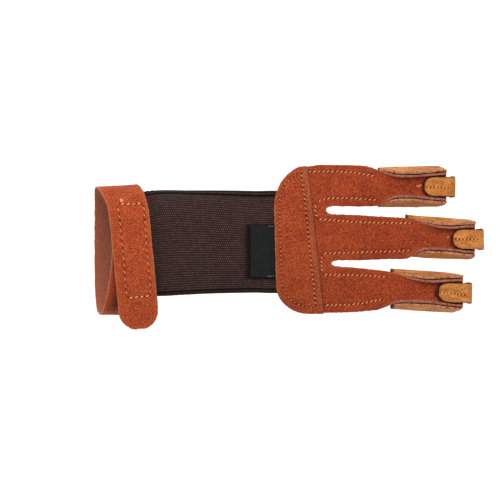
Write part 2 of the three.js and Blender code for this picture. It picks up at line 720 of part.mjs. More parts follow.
const suede = () => finish(0xb2502a, 0.95);
const stallLeather = () => finish(0xcd8c46, 0.6);
const elastic = () => finish(0x3a2a28, 0.9);
const labelCloth = () => finish(0x232826, 0.8);
const hookTape = () => finish(0x2a2422, 0.85);

function piece(name, geometry, material) {
  const mesh = new THREE.Mesh(geometry, material);
  mesh.name = name;
  return mesh;
}

const glove = new THREE.Group();
glove.add(
  piece('hand_panel', buildHandPanel(), suede()),
  piece('yoke_patch', buildYoke(), suede()),
  piece('elastic_band', buildElastic(), elastic()),
  piece('label', buildLabel(), labelCloth()),
  piece('wrist_strap', buildStrap(), suede()),
  piece('hook_patch', buildHookPatch(), hookTape()),
);
FINGERS.forEach((finger, number) => {
  glove.add(piece(`finger_stall_${finger.name}`, buildStall(number), stallLeather()));
});

export default glove;
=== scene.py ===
"""Three-finger archery glove: its looks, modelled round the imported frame. Metres, in the frame's own axes."""

import json
import math

import bpy
import numpy as np
from mathutils import Matrix, Vector
from mathutils.bvhtree import BVHTree
from mathutils.kdtree import KDTree

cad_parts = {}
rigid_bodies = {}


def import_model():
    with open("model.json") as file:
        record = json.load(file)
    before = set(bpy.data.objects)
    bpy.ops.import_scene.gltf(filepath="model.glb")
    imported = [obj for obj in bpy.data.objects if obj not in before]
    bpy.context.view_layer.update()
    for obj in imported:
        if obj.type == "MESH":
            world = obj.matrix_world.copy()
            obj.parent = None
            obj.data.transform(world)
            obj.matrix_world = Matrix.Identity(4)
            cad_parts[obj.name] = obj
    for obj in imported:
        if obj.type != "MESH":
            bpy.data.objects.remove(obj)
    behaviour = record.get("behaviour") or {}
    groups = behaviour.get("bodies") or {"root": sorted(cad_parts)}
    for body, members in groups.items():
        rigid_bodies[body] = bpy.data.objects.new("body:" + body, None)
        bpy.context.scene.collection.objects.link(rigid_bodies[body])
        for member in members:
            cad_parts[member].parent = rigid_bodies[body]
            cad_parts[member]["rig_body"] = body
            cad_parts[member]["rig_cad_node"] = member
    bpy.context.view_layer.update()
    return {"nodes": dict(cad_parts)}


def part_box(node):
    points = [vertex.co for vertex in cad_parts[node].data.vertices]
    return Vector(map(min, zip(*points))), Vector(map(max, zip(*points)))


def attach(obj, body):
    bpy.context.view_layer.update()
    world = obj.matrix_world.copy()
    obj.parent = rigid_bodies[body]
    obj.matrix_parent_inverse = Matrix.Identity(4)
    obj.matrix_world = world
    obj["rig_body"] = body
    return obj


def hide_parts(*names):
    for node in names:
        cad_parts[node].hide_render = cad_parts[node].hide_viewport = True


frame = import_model()

MM = 0.001

# The photograph's frame: what its middle looks at and how much of the glove it takes in
VIEW_MIDDLE = (-14.85 * MM, -4.4 * MM)
VIEW_WIDTH = 275 * MM
LENS, SENSOR = 400, 36
FLOOR_HEIGHT = -120 * MM
KEY_POWER, FILL_POWER, SKY_STRENGTH = 9, 1.5, 0.66

# Rows of stitches in the plan, in millimetres
YOKE_REAR_ROW = [(13.4, 37.8), (8.6, 35.9), (3.9, 30.8), (1.5, 25.9), (1.5, 14), (1.7, 1.7), (2.2, -14.9),
                 (2.8, -23.1), (4.9, -28.6), (7.7, -31.9), (11.6, -34.4), (16, -36), (20, -36.2)]
YOKE_FRONT_ROW = [(13.4, 37.8), (14.1, 31), (15.2, 24.4), (17.5, 1), (19, -14), (20.6, -27), (21.2, -34.8)]
PANEL_ROWS = {
    "upper_edge": [(17, 38.6), (30, 38.9), (42, 38.2), (50.6, 36.8), (53.8, 36.2)],
    "ring_slot_upper": [(22.4, 22), (24.4, 23.3), (31, 24.2), (41.3, 24.2), (55, 23.1)],
    "ring_slot_end": [(21.4, 20.8), (20.8, 18.6), (21, 15), (22, 13.4)],
    "ring_slot_lower": [(22.8, 12.6), (31, 11.8), (41, 11), (54, 10.6), (74.2, 10.3)],
    "index_slot_upper": [(25.4, -6.3), (40, -5.9), (56, -5.3), (67, -5), (73.4, -4.6)],
    "index_slot_end": [(24.5, -7.6), (24.3, -12), (24.8, -16.6)],
    "index_slot_lower": [(25.6, -18), (40, -18.2), (52, -18.6), (60, -19.4)],
    "lower_edge": [(26.4, -34.8), (38, -34.6), (47.3, -33.7), (57.8, -31.5)],
}
TAB_ROWS = {
    "top": [(-86.4, 20.9), (-82.6, 20.7), (-78.6, 20.8), (-74.4, 21.3)],
    "front": [(-73.3, 20.2), (-72.9, 15), (-72.6, 10.4), (-72.2, 4), (-71.6, -4.4), (-70.7, -11.5),
              (-70.1, -17.8), (-69.6, -24.6), (-69.5, -29.2)],
    "bottom": [(-81.7, -30.9), (-77.6, -30.3), (-73.3, -30), (-69.9, -29.6)],
    "rear": [(-87.6, 19.6), (-86.7, 13.3), (-86, 8.8), (-85.2, 0), (-84.6, -7), (-84, -13.4),
             (-83.7, -20), (-83.2, -27), (-82.4, -30)],
}
TONGUE_ROWS = {
    "ring": [(82.6, 30.3), (94.4, 29.7)],
    "middle": [(98.4, 1.4), (110.2, 1.2)],
    "index": [(90.2, -27.6), (103.4, -29.2)],
}
# Single stitches: the crossed ones where a tongue's row starts, and the label's tacked corners
TONGUE_STARTS = [[(77.6, 30.1), (79.9, 31.9)], [(77.1, 31), (78.2, 30.2)], [(93.3, 2.2), (95.0, 3.2)]]
LABEL_TACKS = [[(-4.6, 8.6), (-1.9, 8.8)], [(-5.4, -18.9), (-1.6, -18.7)]]
TAB_KNOT = (-85.5, 22.6)
PANEL_PITCH, YOKE_PITCH, TAB_PITCH, TONGUE_PITCH = 2.5, 2.6, 3.7, 1.95

# The turn from which an edge counts as sharp, and the millimetres past which no cut edge or seam shows
SHARP_TURN = math.radians(55)
FAR_AWAY = 9.0

# Suede, in millimetres: the dent along a seam and the swelling beside it, the yoke's pared front edge and
# trimmed corner, the loose strips, and how far a stall channel's painted shade and light and the tab's painted
# shade reach
SEAM_WIDTH = 0.75
SWELL_PLACE, SWELL_WIDTH = 2.3, 1.1
YOKE_FRONT_EDGE = [(16.5, 42.3), (25.7, -38.7)]
SKIVE_WIDTH, SKIVE_DEPTH = 2.1, 0.55
CORNER_CUT = 1.5
STRIP_WAVE, STRIP_WAVELENGTH = 0.35, 17
CHANNEL_HALF = 10
TAB_REACH = 14

# Stalls, in millimetres: half a tongue's width, the dark rear ends, the pinched ridges under the lips with
# their folds, and how far the lower front corners are cut back, on the upper flank and on the lower one
TONGUE_HALF = 5.5
CUT_ENDS = {"ring": 0.9, "middle": 1.1, "index": 2.2}
CREASE_DROP, FOLD_DROP = 3.4, 1.15
CREASE_HEIGHT, FOLD_DEPTH = 0.3, 0.22
FRONT_CORNERS = {"ring": (3.2, 3.2), "middle": (1.0, 1.4), "index": (2.6, 4.6)}

# Woven pieces: flat sizes in metres, then the cloth, the ribs and the selvedges in millimetres
ELASTIC_FLAT = (0.0585, 0.097)
ELASTIC_CLOTH, LABEL_CLOTH = 1.15, 0.75
RIB_PITCH, RIB_HEIGHT = 1.25, 0.14
SELVEDGE, SELVEDGE_HEIGHT = 1.5, 0.24
SELVEDGE_GROOVE, GROOVE_DEPTH = 2.2, 0.34
SLACK_LIFT = (0, 1.2, -0.3)


def screen(red, green, blue):
    """A colour as a screen shows it, from 0 to 255, in the linear values that shaders take."""
    shares = [c / 255 for c in (red, green, blue)]
    return tuple(c / 12.92 if c <= 0.04045 else ((c + 0.055) / 1.055) ** 2.4 for c in shares) + (1.0,)


# Picking and modelling

def pick_nothing():
    if bpy.context.object and bpy.context.object.mode != "OBJECT":
        bpy.ops.object.mode_set(mode="OBJECT")
    bpy.ops.object.select_all(action="DESELECT")


def pick(piece):
    pick_nothing()
    piece.select_set(True)
    bpy.context.view_layer.objects.active = piece


def named(name):
    piece = bpy.context.object
    piece.name = piece.data.name = name
    return piece


def pick_faces(piece, wanted):
    """Selects, in edit mode, the faces that the test picks by their middle and normal."""
    pick(piece)
    bpy.ops.object.mode_set(mode="EDIT")
    bpy.ops.mesh.select_mode(type="FACE")
    bpy.ops.mesh.select_all(action="DESELECT")
    bpy.ops.object.mode_set(mode="OBJECT")
    for face in piece.data.polygons:
        face.select = bool(wanted(face.center, face.normal))
    bpy.ops.object.mode_set(mode="EDIT")


def finish_with(piece, kind, **settings):
    pick(piece)
    modifier = piece.modifiers.new(kind.lower(), kind)
    for name, value in settings.items():
        setattr(modifier, name, value)
    bpy.ops.object.modifier_apply(modifier=modifier.name)


def points_of(piece):
    points = np.zeros(len(piece.data.vertices) * 3, np.float32)
    piece.data.vertices.foreach_get("co", points)
    return points.reshape(-1, 3).astype(float)


def normals_of(piece):
    return np.array([vertex.normal for vertex in piece.data.vertices], float).reshape(-1, 3)


def move_points(piece, points):
    piece.data.vertices.foreach_set("co", np.asarray(points, np.float32).ravel())
    piece.data.update()


def mark(piece, name, values):
    attribute = piece.data.attributes.get(name) or piece.data.attributes.new(name, "FLOAT", "POINT")
    attribute.data.foreach_set("value", np.asarray(values, np.float32))


def marks_of(piece, name):
    values = np.zeros(len(piece.data.vertices), np.float32)
    piece.data.attributes[name].data.foreach_get("value", values)
    return values.astype(float)


def surface_of(*pieces, picked=None):
    """A surface to cast rays at, made of whole pieces, or of the picked faces of one."""
    points, faces = [], []
    for piece in pieces:
        first = len(points)
        points += [v.co.copy() for v in piece.data.vertices]
        faces += [tuple(first + i for i in p.vertices) for p in piece.data.polygons]
    return BVHTree.FromPolygons(points, faces if picked is None else [faces[i] for i in picked])


def drop(surface, x, y, below=False):
    """The place on a surface under, or over, a point of the plan, with the normal there."""
    height, way = (-0.2, 1) if below else (0.2, -1)
    place, normal, _, _ = surface.ray_cast(Vector((x, y, height)), Vector((0, 0, way)))
    return place, normal


def lengths_along(line):
    return np.r_[0, np.cumsum(np.linalg.norm(np.diff(line, axis=0), axis=1))]


def even_line(points, step):
    """A smooth line through points of the plan, in equal steps, all in millimetres."""
    fine_step, soften = 0.25, 5.0
    points = np.array(points, float)
    lengths = lengths_along(points)
    fine = np.linspace(0, lengths[-1], max(int(lengths[-1] / fine_step), 8))
    line = np.stack([np.interp(fine, lengths, points[:, i]) for i in (0, 1)], 1)
    half = min(int(soften / fine_step) // 2, len(line) // 2 - 1)
    padded = np.pad(line, ((half, half), (0, 0)), mode="reflect", reflect_type="odd")
    window = np.ones(2 * half + 1) / (2 * half + 1)
    line = np.stack([np.convolve(padded[:, i], window, "valid") for i in (0, 1)], 1)
    lengths = lengths_along(line)
    count = max(int(round(lengths[-1] / step)), 1)
    even = np.linspace(0, lengths[-1], count + 1)
    return np.stack([np.interp(even, lengths, line[:, i]) for i in (0, 1)], 1)


def ripple(points, wavelength, seed, waves=8):
    """A smooth uneven field about 1 high, the same on every run. Points and wavelength are in millimetres."""
    draw = np.random.default_rng(seed)
    field = np.zeros(len(points))
    for _ in range(waves):
        way = draw.normal(size=points.shape[1])
        way /= np.linalg.norm(way)
        turns = points @ way * 2 * math.pi / (wavelength * draw.uniform(0.7, 1.5))
        field += np.sin(turns + draw.uniform(0, 6.3))
    return field / math.sqrt(waves)


def step_between(low, high, values):
    share = np.clip((values - low) / (high - low), 0, 1)
    return share * share * (3 - 2 * share)


def hump(values, middle, width):
    """A smooth bell, 1 high at its middle."""
    return np.exp(-((values - middle) / width) ** 2)


# Shader building

def fill_inputs(tree, node, inputs):
    """Links the sockets among the values to the node's inputs, and sets the plain values on them."""
    for name, value in inputs.items():
        if isinstance(value, bpy.types.NodeSocket):
            tree.links.new(value, node.inputs[name])
        else:
            node.inputs[name].default_value = value


def add(tree, kind, inputs=None, **settings):
    made = tree.nodes.new("ShaderNode" + kind)
    for name, value in settings.items():
        setattr(made, name, value)
    fill_inputs(tree, made, inputs or {})
    return made


def math_of(tree, operation, *values):
    return add(tree, "Math", dict(enumerate(values)), operation=operation).outputs[0]


def times(tree, first, second):
    return math_of(tree, "MULTIPLY", first, second)


def plus(tree, first, second):
    return math_of(tree, "ADD", first, second)


def blend_of(tree, share, first, second, blend="MIX"):
    made = add(tree, "Mix", {0: share, 6: first, 7: second}, data_type="RGBA", blend_type=blend)
    return made.outputs[2]


def darkened(tree, share, colour, tint):
    return blend_of(tree, share, colour, blend_of(tree, 1.0, colour, tint, "MULTIPLY"))


def ramp_of(tree, value, low, high, start=0.0, end=1.0):
    ends = {"Value": value, "From Min": low, "From Max": high, "To Min": start, "To Max": end}
    return add(tree, "MapRange", ends, interpolation_type="SMOOTHSTEP").outputs["Result"]


def noise_of(tree, place, scale, detail=2.0, roughness=0.5, distortion=0.0):
    return add(tree, "TexNoise", {"Vector": place, "Scale": scale, "Detail": detail, "Roughness": roughness,
                                  "Distortion": distortion}).outputs[0]


def object_place(tree):
    return add(tree, "TexCoord").outputs["Object"]


def new_group(name, inputs, outputs):
    tree = bpy.data.node_groups.new(name, "ShaderNodeTree")
    for label, value in inputs.items():
        kind = "NodeSocketColor" if isinstance(value, tuple) else "NodeSocketFloat"
        socket = tree.interface.new_socket(name=label, in_out="INPUT", socket_type=kind)
        socket.default_value = value
    for label, kind in outputs.items():
        tree.interface.new_socket(name=label, in_out="OUTPUT", socket_type="NodeSocket" + kind)
    return tree, tree.nodes.new("NodeGroupInput").outputs, tree.nodes.new("NodeGroupOutput").inputs


def place_group(tree, group, inputs):
    made = tree.nodes.new("ShaderNodeGroup")
    made.node_tree = group
    fill_inputs(tree, made, inputs)
    return made.outputs


def new_finish(name):
    material = bpy.data.materials.new(name)
    material.use_nodes = True
    tree = material.node_tree
    shader = next(node for node in tree.nodes if node.type == "BSDF_PRINCIPLED")
    return material, tree, shader


def bump(tree, shader, height, distance, strength):
    made = add(tree, "Bump", {"Height": height, "Distance": distance, "Strength": strength})
    tree.links.new(made.outputs[0], shader.inputs["Normal"])


def attribute(tree, name):
    return add(tree, "Attribute", attribute_name=name).outputs["Fac"]


def make_nap_group():
    """Brushed suede: a speckle of fibres, clumps of nap and broad patches where it lies differently."""
    tree, given, out = new_group("suede_nap", {
        "Fibres": 1400.0, "Contrast": 1.0, "Dark": screen(120, 45, 20), "Middle": screen(178, 80, 40),
        "Light": screen(205, 110, 62),
    }, {"Colour": "Color", "Height": "Float"})
    place = object_place(tree)
    fibres = noise_of(tree, place, given["Fibres"], 3.0, 0.7, 0.4)
    clumps = noise_of(tree, place, times(tree, given["Fibres"], 0.4), 2.0, 0.6, 0.6)
    patches = noise_of(tree, place, 85.0, 2.0, 0.55, 0.6)
    mixed = plus(tree, times(tree, fibres, 0.84), times(tree, clumps, 0.08))
    mixed = plus(tree, mixed, times(tree, patches, 0.08))
    spread = math_of(tree, "MULTIPLY_ADD", math_of(tree, "SUBTRACT", mixed, 0.5), given["Contrast"], 0.5)
    colour = blend_of(tree, ramp_of(tree, spread, 0.3, 0.5), given["Dark"], given["Middle"])
    colour = blend_of(tree, ramp_of(tree, spread, 0.52, 0.72), colour, given["Light"])
    tree.links.new(colour, out["Colour"])
    tree.links.new(plus(tree, times(tree, fibres, 0.8), times(tree, clumps, 0.3)), out["Height"])
    return tree


def make_wear_and_seam_shade_group():
    """Cut edges with their fuzzy fringe, rubbed rims, and painted shade in the dents along the seams. In
    millimetres.
    """
    tree, given, out = new_group("leather_wear_and_seam_shade", {
        "Colour": (0.5, 0.2, 0.1, 1.0), "From Edge": FAR_AWAY, "From Seam": FAR_AWAY, "Edge Width": 0.35,
        "Fringe": screen(190, 140, 100), "Core": screen(130, 85, 75), "Rim": screen(205, 105, 50),
        "Rim Share": 0.4, "Seam Shade": 0.4,
    }, {"Colour": "Color", "Edge": "Float"})
    place = object_place(tree)
    uneven = math_of(tree, "SUBTRACT", noise_of(tree, place, 900.0, 2.0, 0.6), 0.5)
    near = math_of(tree, "MULTIPLY_ADD", uneven, 0.36, given["From Edge"])
    width = given["Edge Width"]
    rim = times(tree, ramp_of(tree, given["From Edge"], 0.4, 3.4, 1.0, 0.0), given["Rim Share"])
    colour = blend_of(tree, rim, given["Colour"], given["Rim"])
    # Painted shade: the colour is darkened in the dents along the seams
    painted_seam_shade = times(tree, ramp_of(tree, given["From Seam"], 0.1, 1.1, 1.0, 0.0), given["Seam Shade"])
    colour = darkened(tree, painted_seam_shade, colour, screen(150, 120, 110))
    fringe = ramp_of(tree, near, width, plus(tree, width, 0.4), 1.0, 0.0)
    core = ramp_of(tree, near, math_of(tree, "SUBTRACT", width, 0.4), width, 1.0, 0.0)
    layers = noise_of(tree, place, 850.0, 4.0, 0.78)
    speckled = blend_of(tree, ramp_of(tree, layers, 0.42, 0.54), given["Core"], given["Fringe"])
    colour = blend_of(tree, fringe, colour, blend_of(tree, 0.7, given["Fringe"], speckled))
    colour = blend_of(tree, core, colour, speckled)
    tree.links.new(colour, out["Colour"])
    tree.links.new(fringe, out["Edge"])
    return tree


def make_weave_group():
    """Cloth woven in ribs: which thread is on top, and how high it stands. Reads the piece's own UV map."""
    tree, given, out = new_group("woven_ribs", {"Ribs": 35.0, "Crossings": 80.0, "Fleck Share": 0.5},
                                 {"Crest": "Float", "Fleck": "Float", "Height": "Float"})
    parts = add(tree, "SeparateXYZ", {0: add(tree, "UVMap", uv_map="cloth").outputs[0]}).outputs
    across = times(tree, parts["Y"], given["Ribs"])
    rib = math_of(tree, "FRACT", across)
    crest = math_of(tree, "SINE", times(tree, rib, math.pi))
    odd = times(tree, math_of(tree, "FLOOR", across), 0.5)
    along = plus(tree, times(tree, parts["X"], given["Crossings"]), odd)
    tooth = math_of(tree, "SINE", times(tree, math_of(tree, "FRACT", along), math.pi))
    cell = {"X": math_of(tree, "FLOOR", along), "Y": math_of(tree, "FLOOR", across), "Z": 0.0}
    grid = add(tree, "CombineXYZ", cell).outputs[0]
    lottery = add(tree, "TexWhiteNoise", {"Vector": grid}, noise_dimensions="3D").outputs["Value"]
    unlucky = math_of(tree, "SUBTRACT", 1.0, given["Fleck Share"])
    lucky = math_of(tree, "MULTIPLY_ADD", lottery, unlucky, given["Fleck Share"])
    tree.links.new(crest, out["Crest"])
    tree.links.new(times(tree, times(tree, tooth, crest), lucky), out["Fleck"])
    tree.links.new(times(tree, crest, math_of(tree, "MULTIPLY_ADD", tooth, 0.6, 0.4)), out["Height"])
    return tree


nap_group, wear_and_seam_shade_group, weave_group = make_nap_group(), make_wear_and_seam_shade_group(), make_weave_group()


def suede_finish(name, *colours, rim_share=0.16):
    """Colours: the nap's dark, middle and light, the flesh side, and the cut edges' fringe, core and rim."""
    dark, middle, light, flesh, fringe, core, rim = [screen(*colour) for colour in colours]
    material, tree, shader = new_finish(name)
    nap = place_group(tree, nap_group, {"Fibres": 2300.0, "Contrast": 3.5, "Dark": dark, "Middle": middle,
                                        "Light": light})
    inner = attribute(tree, "flesh_side")
    raw = blend_of(tree, ramp_of(tree, nap["Height"], 0.42, 0.66), core, flesh)
    colour = blend_of(tree, inner, nap["Colour"], blend_of(tree, 0.75, nap["Colour"], raw))
    pared = blend_of(tree, ramp_of(tree, nap["Height"], 0.45, 0.65), core, fringe)
    colour = blend_of(tree, attribute(tree, "pared"), colour, blend_of(tree, 0.5, nap["Colour"], pared))
    # Painted light on the channel wall that faces the key light
    colour = blend_of(tree, attribute(tree, "painted_wall_light"), colour, blend_of(tree, 0.4, colour, fringe))
    # Painted shade round the tongues, on the far channel walls and under the tab
    colour = darkened(tree, attribute(tree, "shade"), colour, screen(120, 96, 88))
    edge, seam = attribute(tree, "from_edge"), attribute(tree, "from_seam")
    worn_and_seam_shaded = place_group(tree, wear_and_seam_shade_group, {
        "Colour": colour, "From Edge": edge, "From Seam": seam, "Edge Width": 0.2, "Fringe": fringe,
        "Core": core, "Rim": rim, "Rim Share": rim_share})
    fill_inputs(tree, shader, {
        "Base Color": worn_and_seam_shaded["Colour"], "Roughness": 0.92, "Specular IOR Level": 0.18,
        "Sheen Weight": 0.12, "Sheen Roughness": 0.55, "Sheen Tint": screen(255, 190, 150)})
    bump(tree, shader, nap["Height"], 0.0003, 0.9)
    return material


def stall_finish():
    material, tree, shader = new_finish("oiled_stall_leather")
    place = object_place(tree)
    broad = noise_of(tree, place, 70.0, 3.0, 0.6, 0.8)
    fine = noise_of(tree, place, 900.0, 3.0, 0.6)
    cells = add(tree, "TexVoronoi", {"Vector": place, "Scale": 1100.0}, feature="DISTANCE_TO_EDGE")
    pores = cells.outputs["Distance"]
    stretched = add(tree, "Mapping", {"Vector": place, "Scale": (0.22, 1.0, 1.0)}).outputs[0]
    streaks = noise_of(tree, stretched, 420.0, 3.0, 0.6, 0.5)
    colour = blend_of(tree, ramp_of(tree, broad, 0.35, 0.65), screen(166, 97, 44), screen(196, 124, 62))
    colour = blend_of(tree, ramp_of(tree, streaks, 0.48, 0.66, 0.0, 0.8), colour, screen(217, 146, 80))
    colour = blend_of(tree, ramp_of(tree, fine, 0.3, 0.54, 0.75, 0.0), colour, screen(124, 66, 22))
    nap = place_group(tree, nap_group, {"Fibres": 1500.0, "Contrast": 0.8, "Dark": screen(98, 58, 34),
                                        "Middle": screen(142, 90, 54), "Light": screen(172, 120, 80)})
    inner = attribute(tree, "flesh_side")
    edge = attribute(tree, "from_edge")
    on_flank = attribute(tree, "on_flank")
    line = times(tree, ramp_of(tree, edge, 0.5, 0.75), ramp_of(tree, edge, 1.0, 1.5, 0.75, 0.0))
    colour = blend_of(tree, times(tree, line, on_flank), colour, screen(112, 64, 32))
    colour = blend_of(tree, inner, colour, nap["Colour"])
    fringe = blend_of(tree, on_flank, screen(150, 94, 52), screen(192, 129, 93))
    worn_and_seam_shaded = place_group(tree, wear_and_seam_shade_group, {
        "Colour": colour, "From Edge": edge, "From Seam": attribute(tree, "from_seam"), "Edge Width": 0.26,
        "Fringe": fringe, "Core": screen(104, 58, 42), "Rim": screen(200, 134, 62), "Rim Share": 0.25,
        "Seam Shade": 0.3})
    colour = worn_and_seam_shaded["Colour"]
    # Painted highlight along each flank's ridge and painted shade in the fold under it
    for name, share, shade in (("crease_with_painted_highlight", 0.7, screen(206, 150, 92)), ("fold_with_painted_shade", 0.65, screen(92, 52, 26))):
        colour = blend_of(tree, times(tree, attribute(tree, name), share), colour, shade)
    cut_end = times(tree, attribute(tree, "cut_end"), ramp_of(tree, fine, 0.3, 0.6, 0.98, 0.8))
    rough = plus(tree, times(tree, inner, 0.4), ramp_of(tree, broad, 0.3, 0.7, 0.42, 0.54))
    fill_inputs(tree, shader, {"Base Color": blend_of(tree, cut_end, colour, screen(38, 18, 10)),
                               "Roughness": plus(tree, rough, times(tree, worn_and_seam_shaded["Edge"], 0.3)),
                               "Specular IOR Level": 0.08})
    grain = plus(tree, times(tree, ramp_of(tree, pores, 0.0, 0.16), 0.4), times(tree, streaks, 0.7))
    bump(tree, shader, plus(tree, grain, times(tree, fine, 0.3)), 0.00016, 0.5)
    return material


def cloth_finish(name, ribs, crossings, *colours, fleck_share, groove=None, sheen=0.0):
    """Colours: the ground between the ribs, their crests, and the flecks on these."""
    ground, crest, fleck = [screen(*colour) for colour in colours]
    material, tree, shader = new_finish(name)
    weave = place_group(tree, weave_group, {"Ribs": ribs, "Crossings": crossings, "Fleck Share": fleck_share})
    dust = noise_of(tree, object_place(tree), 260.0, 3.0, 0.6)
    colour = blend_of(tree, weave["Crest"], ground, crest)
    colour = blend_of(tree, weave["Fleck"], colour, fleck)
    colour = blend_of(tree, ramp_of(tree, dust, 0.42, 0.75, 0.0, 0.18), colour, crest)
    if groove:
        # Painted shade: near-black in the selvedge grooves
        colour = blend_of(tree, attribute(tree, "groove"), colour, screen(*groove))
        # Painted shade beside the label and next to the strap
        colour = darkened(tree, attribute(tree, "painted_contact_shade"), colour, screen(110, 104, 104))
    fill_inputs(tree, shader, {"Base Color": colour, "Roughness": 0.85, "Specular IOR Level": 0.12,
                               "Sheen Weight": sheen, "Sheen Roughness": 0.4})
    bump(tree, shader, weave["Height"], 0.0002, 0.8)
    return material


def thread_finish(name, *colours):
    """Colours: the shade between the plies, the plies, and the warmer stretches."""
    dark, light, warm = [screen(*colour) for colour in colours]
    material, tree, shader = new_finish(name)
    place = object_place(tree)
    turned = add(tree, "Mapping", {"Vector": place, "Rotation": (0.0, 0.0, 0.7)}).outputs[0]
    ply = add(tree, "TexWave", {"Vector": turned, "Scale": 700.0, "Distortion": 1.0}).outputs["Fac"]
    shade = noise_of(tree, place, 240.0, 2.0, 0.5)
    colour = blend_of(tree, ply, dark, light)
    colour = blend_of(tree, ramp_of(tree, shade, 0.4, 0.7, 0.0, 0.45), colour, warm)
    fill_inputs(tree, shader, {"Base Color": colour, "Roughness": 0.5})
    bump(tree, shader, ply, 0.00008, 0.6)
    return material


def hole_finish():
    material, tree, shader = new_finish("needle_hole")
    # Painted shade: the hole's dark bead stands for the shadow in it
    colour = blend_of(tree, noise_of(tree, object_place(tree), 800.0), screen(44, 14, 6), screen(74, 26, 12))
    fill_inputs(tree, shader, {"Base Color": colour, "Roughness": 0.95, "Specular IOR Level": 0.05})
    return material


def hook_finish():
    material, tree, shader = new_finish("hook_tape")
    hooks = add(tree, "TexVoronoi", {"Vector": object_place(tree), "Scale": 800.0}).outputs["Distance"]
    colour = blend_of(tree, ramp_of(tree, hooks, 0.1, 0.7), screen(62, 54, 50), screen(22, 20, 20))
    fill_inputs(tree, shader, {"Base Color": colour, "Roughness": 0.6})
    bump(tree, shader, math_of(tree, "SUBTRACT", 1.0, hooks), 0.0005, 0.9)
    return material


def floor_finish():
    material, tree, shader = new_finish("paper_floor")
    paper = noise_of(tree, object_place(tree), 3.0)
    fill_inputs(tree, shader, {
        "Base Color": blend_of(tree, paper, (0.93, 0.93, 0.93, 1.0), (0.96, 0.96, 0.96, 1.0)),
        "Roughness": 0.9, "Emission Color": (1.0, 1.0, 1.0, 1.0), "Emission Strength": 0.35})
    return material


PANEL_SUEDE = suede_finish("rust_suede", (100, 26, 8), (138, 46, 18), (184, 84, 44), (164, 104, 82),
                           (168, 106, 86), (92, 50, 40), (170, 70, 28))
YOKE_SUEDE = suede_finish("rust_suede_yoke", (102, 29, 10), (144, 51, 20), (190, 90, 48), (164, 104, 82),
                          (168, 104, 76), (94, 48, 32), (174, 74, 32))
STRAP_SUEDE = suede_finish("rust_suede_strap", (112, 33, 11), (154, 57, 23), (200, 97, 53), (158, 104, 84),
                           (176, 110, 80), (138, 82, 60), (182, 78, 32), rim_share=0.35)
STALL_LEATHER = stall_finish()
ELASTIC_RIBS = ELASTIC_FLAT[0] / MM / RIB_PITCH
BROWN_ELASTIC = cloth_finish("brown_elastic", ELASTIC_RIBS, 88.0, (10, 4, 3), (27, 15, 13), (93, 67, 60),
                             fleck_share=0.55, groove=(8, 4, 4))
BLACK_LABEL = cloth_finish("black_label_cloth", 60.0, 40.0, (8, 10, 10), (21, 25, 24), (46, 52, 50),
                           fleck_share=0.3, sheen=0.04)
THREAD = thread_finish("waxed_thread", (204, 116, 64), (248, 178, 120), (224, 136, 80))
TONGUE_THREAD = thread_finish("waxed_thread_orange", (224, 130, 60), (255, 188, 112), (240, 152, 80))
LABEL_THREAD = thread_finish("label_thread", (120, 118, 110), (206, 204, 196), (160, 156, 148))
NEEDLE_HOLE, HOOK_TAPE = hole_finish(), hook_finish()


# The pieces of leather

def cut_from_frame(node, name, rounding=0.32, levels=2):
    """A piece with the shape of a node of the frame, merged and squared up, with softly rounded cut edges."""
    piece = frame["nodes"][node].copy()
    piece.data = piece.data.copy()
    piece.name = piece.data.name = name
    piece.parent = None
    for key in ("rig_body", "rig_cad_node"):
        del piece[key]
    bpy.context.scene.collection.objects.link(piece)
    pick(piece)
    bpy.ops.object.mode_set(mode="EDIT")
    bpy.ops.mesh.select_all(action="SELECT")
    bpy.ops.mesh.remove_doubles(threshold=2e-6)
    bpy.ops.mesh.tris_convert_to_quads(face_threshold=math.radians(50), shape_threshold=math.radians(60))
    bpy.ops.object.mode_set(mode="OBJECT")
    walls = surface_of(piece, picked=wall_faces(piece))
    finish_with(piece, "BEVEL", width=rounding * MM, segments=1, limit_method="ANGLE", angle_limit=SHARP_TURN)
    finish_with(piece, "SUBSURF", levels=levels, render_levels=levels)
    piece.data.shade_smooth()
    gaps = [walls.find_nearest(v.co)[3] / MM for v in piece.data.vertices]
    mark(piece, "from_edge", np.minimum(gaps, FAR_AWAY))
    mark(piece, "from_seam", np.full(len(gaps), FAR_AWAY))
    mark(piece, "flesh_side", np.zeros(len(gaps)))
    return piece


def wall_faces(piece):
    """The narrow faces along a sheet's cut edges: two of their facing sides turn a sharp corner."""
    mesh = piece.data
    around = {}
    for face in mesh.polygons:
        for key in face.edge_keys:
            around.setdefault(key, []).append(face)
    pairs = {key: faces for key, faces in around.items() if len(faces) == 2}
    sharp = {key for key, (a, b) in pairs.items() if a.normal.dot(b.normal) < math.cos(SHARP_TURN)}
    found = []
    for face in mesh.polygons:
        keys = [key for key in face.edge_keys if key in sharp]
        if any(not set(a) & set(b) for a in keys for b in keys):
            found.append(face.index)
    return found


def seam_distances(piece, rows):
    """Each point's distance to the nearest row in the plan, and how far along it lies, in millimetres."""
    step = 0.3
    stations = []
    for row in rows:
        stations += [(x, y, i * step) for i, (x, y) in enumerate(even_line(row, step))]
    tree = KDTree(len(stations))
    for i, (x, y, _) in enumerate(stations):
        tree.insert((x, y, 0), i)
    tree.balance()
    distances, along = [], []
    for x, y, _ in points_of(piece) / MM:
        _, i, distance = tree.find((x, y, 0))
        distances.append(distance)
        along.append(stations[i][2])
    return np.array(distances), np.array(along)


